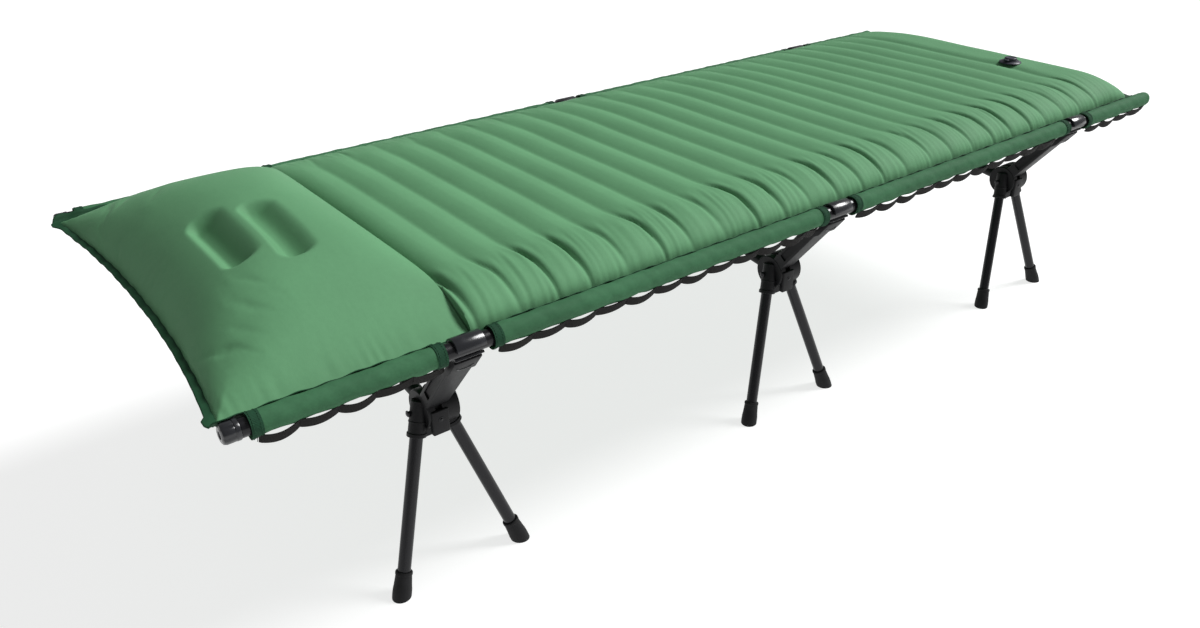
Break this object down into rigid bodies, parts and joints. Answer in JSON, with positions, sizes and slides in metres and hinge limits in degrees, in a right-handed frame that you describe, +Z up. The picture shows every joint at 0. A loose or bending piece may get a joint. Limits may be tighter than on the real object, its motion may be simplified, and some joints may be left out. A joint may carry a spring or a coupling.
{
  "type": "folding cot",
  "caption": "Low camping cot: fabric cover on two side rails and splayed folding leg sets, with a ribbed air mattress and a crowned air pillow.",
  "frame": {"origin": "on the floor under the middle of the cot", "axes": "+X along the rails from the head end, where the pillow is, to the foot end; +Y from the near side to the far side; +Z up"},
  "size_m": [1.9, 0.7298, 0.4961],
  "materials": {
    "anodised_tube": "satin",
    "black_nylon": "satin",
    "rubber": "matte",
    "steel": "satin",
    "cover_cloth": "matte",
    "mattress_cloth": "satin",
    "webbing": "matte",
    "valve_plastic": "matte"
  },
  "bodies": {
    "deck": {"rail_near_1": "anodised_tube", "rail_near_2": "anodised_tube", "rail_near_3": "anodised_tube", "rail_far_1": "anodised_tube", "rail_far_2": "anodised_tube", "rail_far_3": "anodised_tube", "end_cap_near": "black_nylon", "end_cap_far": "black_nylon", "cover": "cover_cloth", "air_mattress": "mattress_cloth", "air_pillow": "mattress_cloth", "valve_body": "valve_plastic", "webbing_near": "webbing", "webbing_far": "webbing", "cross_bow_1": "anodised_tube", "cross_bow_2": "anodised_tube", "cross_bow_3": "anodised_tube", "arm_near_1": "black_nylon", "arm_near_2": "black_nylon", "arm_near_3": "black_nylon", "arm_far_1": "black_nylon", "arm_far_2": "black_nylon", "arm_far_3": "black_nylon"},
    "near_legs_1": {"leg_hub_near_1": "black_nylon", "hub_pin_near_1": "steel", "leg_near_1_head": "anodised_tube", "leg_near_1_foot": "anodised_tube", "rubber_foot_near_1_head": "rubber", "rubber_foot_near_1_foot": "rubber"},
    "far_legs_1": {"leg_hub_far_1": "black_nylon", "hub_pin_far_1": "steel", "leg_far_1_head": "anodised_tube", "leg_far_1_foot": "anodised_tube", "rubber_foot_far_1_head": "rubber", "rubber_foot_far_1_foot": "rubber"},
    "near_legs_2": {"leg_hub_near_2": "black_nylon", "hub_pin_near_2": "steel", "leg_near_2_head": "anodised_tube", "leg_near_2_foot": "anodised_tube", "rubber_foot_near_2_head": "rubber", "rubber_foot_near_2_foot": "rubber"},
    "far_legs_2": {"leg_hub_far_2": "black_nylon", "hub_pin_far_2": "steel", "leg_far_2_head": "anodised_tube", "leg_far_2_foot": "anodised_tube", "rubber_foot_far_2_head": "rubber", "rubber_foot_far_2_foot": "rubber"},
    "near_legs_3": {"leg_hub_near_3": "black_nylon", "hub_pin_near_3": "steel", "leg_near_3_head": "anodised_tube", "leg_near_3_foot": "anodised_tube", "rubber_foot_near_3_head": "rubber", "rubber_foot_near_3_foot": "rubber"},
    "far_legs_3": {"leg_hub_far_3": "black_nylon", "hub_pin_far_3": "steel", "leg_far_3_head": "anodised_tube", "leg_far_3_foot": "anodised_tube", "rubber_foot_far_3_head": "rubber", "rubber_foot_far_3_foot": "rubber"},
    "valve_lid": {"valve_cap": "valve_plastic"}
  },
  "joints": [
    {"name": "near_legs_1_fold", "type": "hinge", "parent": "deck", "child": "near_legs_1", "pos_m": [-0.657, -0.238, 0.24], "axis": [1, 0, 0], "range_deg": [0, 72]},
    {"name": "far_legs_1_fold", "type": "hinge", "parent": "deck", "child": "far_legs_1", "pos_m": [-0.657, 0.238, 0.24], "axis": [-1, 0, 0], "range_deg": [0, 72]},
    {"name": "near_legs_2_fold", "type": "hinge", "parent": "deck", "child": "near_legs_2", "pos_m": [0.003, -0.238, 0.24], "axis": [1, 0, 0], "range_deg": [0, 72]},
    {"name": "far_legs_2_fold", "type": "hinge", "parent": "deck", "child": "far_legs_2", "pos_m": [0.003, 0.238, 0.24], "axis": [-1, 0, 0], "range_deg": [0, 72]},
    {"name": "near_legs_3_fold", "type": "hinge", "parent": "deck", "child": "near_legs_3", "pos_m": [0.68, -0.238, 0.24], "axis": [1, 0, 0], "range_deg": [0, 72]},
    {"name": "far_legs_3_fold", "type": "hinge", "parent": "deck", "child": "far_legs_3", "pos_m": [0.68, 0.238, 0.24], "axis": [-1, 0, 0], "range_deg": [0, 72]},
    {"name": "valve_cap_flip", "type": "hinge", "parent": "deck", "child": "valve_lid", "pos_m": [0.8165, -0.13, 0.4438], "axis": [0, 1, 0], "range_deg": [0, 160]}
  ]
}
